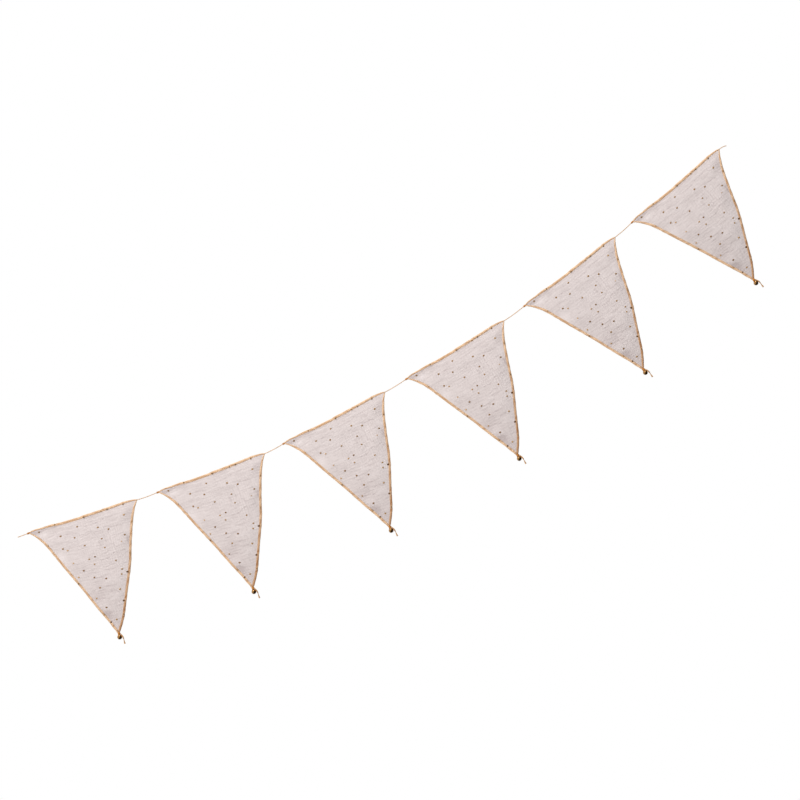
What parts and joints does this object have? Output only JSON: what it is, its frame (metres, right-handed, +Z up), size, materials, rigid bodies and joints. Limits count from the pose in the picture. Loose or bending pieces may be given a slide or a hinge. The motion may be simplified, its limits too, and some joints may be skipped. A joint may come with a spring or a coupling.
{
  "type": "fabric bunting",
  "caption": "String of pointed crinkled-gauze flags with printed gold dots, thread-covered edges and a small round bell at each tip.",
  "frame": {"origin": "the free upper end of the string, where it would be fastened", "axes": "+Z up, +X to the right along the wall, and the flags face -Y; the chain runs from the origin down to -X"},
  "size_m": [1.3437, 0.016, 0.8975],
  "materials": {
    "gauze": "pale warm grey crinkled cotton gauze with small printed gold foil dots, matt",
    "tan_thread": "golden tan cotton thread, laid close in slanting stitches, slight sheen",
    "dark_thread": "copper brown thread, wound tight",
    "gold_metal": "polished gold-coloured metal"
  },
  "bodies": {
    "root": {"flag_1_cloth": "gauze", "flag_1_top_edging": "tan_thread", "flag_1_left_edging": "tan_thread", "flag_1_right_edging": "tan_thread", "flag_1_corner_wrap": "dark_thread", "flag_1_knot": "dark_thread", "flag_1_bell": "gold_metal", "flag_1_bell_thread": "tan_thread", "flag_2_cloth": "gauze", "flag_2_top_edging": "tan_thread", "flag_2_left_edging": "tan_thread", "flag_2_right_edging": "tan_thread", "flag_2_corner_wrap": "dark_thread", "flag_2_knot": "dark_thread", "flag_2_bell": "gold_metal", "flag_2_bell_thread": "tan_thread", "flag_3_cloth": "gauze", "flag_3_top_edging": "tan_thread", "flag_3_left_edging": "tan_thread", "flag_3_right_edging": "tan_thread", "flag_3_corner_wrap": "dark_thread", "flag_3_knot": "dark_thread", "flag_3_bell": "gold_metal", "flag_3_bell_thread": "tan_thread", "flag_4_cloth": "gauze", "flag_4_top_edging": "tan_thread", "flag_4_left_edging": "tan_thread", "flag_4_right_edging": "tan_thread", "flag_4_corner_wrap": "dark_thread", "flag_4_knot": "dark_thread", "flag_4_bell": "gold_metal", "flag_4_bell_thread": "tan_thread", "flag_5_cloth": "gauze", "flag_5_top_edging": "tan_thread", "flag_5_left_edging": "tan_thread", "flag_5_right_edging": "tan_thread", "flag_5_corner_wrap": "dark_thread", "flag_5_knot": "dark_thread", "flag_5_bell": "gold_metal", "flag_5_bell_thread": "tan_thread", "flag_6_cloth": "gauze", "flag_6_top_edging": "tan_thread", "flag_6_left_edging": "tan_thread", "flag_6_right_edging": "tan_thread", "flag_6_corner_wrap": "dark_thread", "flag_6_knot": "dark_thread", "flag_6_bell": "gold_metal", "flag_6_bell_thread": "tan_thread", "string_lower_end": "tan_thread", "string_1_2": "tan_thread", "string_2_3": "tan_thread", "string_3_4": "tan_thread", "string_4_5": "tan_thread", "string_5_6": "tan_thread", "string_upper_end": "tan_thread"}
  },
  "joints": []
}
